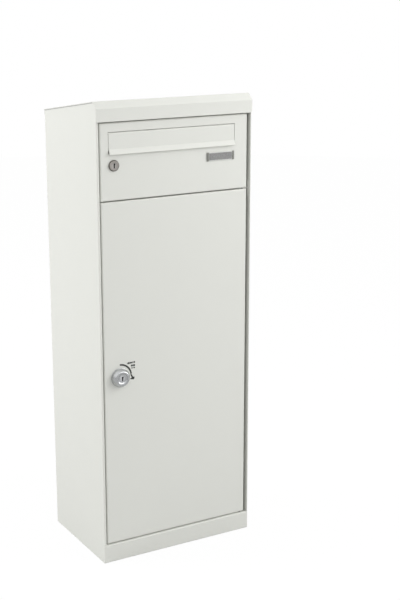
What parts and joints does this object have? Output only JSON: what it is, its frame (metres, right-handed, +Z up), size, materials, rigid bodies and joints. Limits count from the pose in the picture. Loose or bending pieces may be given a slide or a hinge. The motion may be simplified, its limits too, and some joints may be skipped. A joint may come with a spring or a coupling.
{
  "type": "parcel mailbox",
  "caption": "Free-standing steel letter and parcel box: a letter flap in a hinged upper door, and a tall lower parcel door with a turning knob lock.",
  "frame": {"origin": "middle of the base, at floor level", "axes": "+Z up; the doors face -Y; +X is the hinge side"},
  "size_m": [0.3716, 0.268, 1.0118],
  "materials": {
    "powder_coat": "satin powder coat, light off-white",
    "zinc_plate": "zinc-plated steel",
    "nickel_plate": "satin nickel plate",
    "satin_chrome": "satin chrome plate",
    "rubber": "matt",
    "nylon": "moulded",
    "plate_frame": "moulded, with a pale rim",
    "name_card": "blank grey insert"
  },
  "bodies": {
    "housing": {"left_side_panel": "powder_coat", "right_side_panel": "powder_coat", "back_panel": "powder_coat", "floor_tray": "powder_coat", "plinth": "powder_coat", "roof_cap": "powder_coat", "top_rail": "powder_coat", "divider_shelf": "powder_coat", "lock_jamb": "powder_coat", "lock_stop": "powder_coat", "hinge_stile": "powder_coat", "mid_hinge_bracket": "powder_coat", "hinge_pins": "zinc_plate", "bottom_washer": "nylon", "door_buffers": "rubber"},
    "upper_door": {"upper_door": "powder_coat", "upper_door_bushes": "nylon", "letter_guard": "powder_coat", "flap_rod": "zinc_plate", "flap_brackets": "zinc_plate", "upper_lock_body": "nickel_plate", "upper_lock_nut": "zinc_plate", "name_plate_frame": "plate_frame", "name_plate_card": "name_card"},
    "letter_flap": {"letter_flap": "powder_coat"},
    "upper_lock": {"upper_lock_plug": "nickel_plate", "upper_lock_cam": "zinc_plate", "upper_cam_screw": "zinc_plate"},
    "lower_door": {"lower_door": "powder_coat", "lower_door_stiffener": "powder_coat", "lower_door_bushes": "nylon", "knob_rose": "satin_chrome", "knob_lock_body": "satin_chrome", "knob_lock_nut": "zinc_plate"},
    "knob": {"knob": "satin_chrome", "knob_cam": "zinc_plate", "knob_cam_screw": "zinc_plate"},
    "knob_plug": {"knob_plug": "satin_chrome"}
  },
  "joints": [
    {"name": "upper_door_hinge", "type": "hinge", "parent": "housing", "child": "upper_door", "pos_m": [0.1682, -0.117, 0.888], "axis": [0, 0, 1], "range_deg": [0, 105]},
    {"name": "lower_door_hinge", "type": "hinge", "parent": "housing", "child": "lower_door", "pos_m": [0.1682, -0.117, 0.42405], "axis": [0, 0, 1], "range_deg": [0, 105]},
    {"name": "letter_flap_hinge", "type": "hinge", "parent": "upper_door", "child": "letter_flap", "pos_m": [-0.00535, -0.1217, 0.9452], "axis": [-1, 0, 0], "range_deg": [0, 80]},
    {"name": "upper_lock_turn", "type": "hinge", "parent": "upper_door", "child": "upper_lock", "pos_m": [-0.1448, -0.125, 0.8805], "axis": [0, 1, 0], "range_deg": [0, 90]},
    {"name": "knob_turn", "type": "hinge", "parent": "lower_door", "child": "knob", "pos_m": [-0.1385, -0.125, 0.42405], "axis": [0, 1, 0], "range_deg": [0, 90]},
    {"name": "knob_key_turn", "type": "hinge", "parent": "knob", "child": "knob_plug", "pos_m": [-0.1385, -0.125, 0.42405], "axis": [0, 1, 0], "range_deg": [0, 90]}
  ]
}
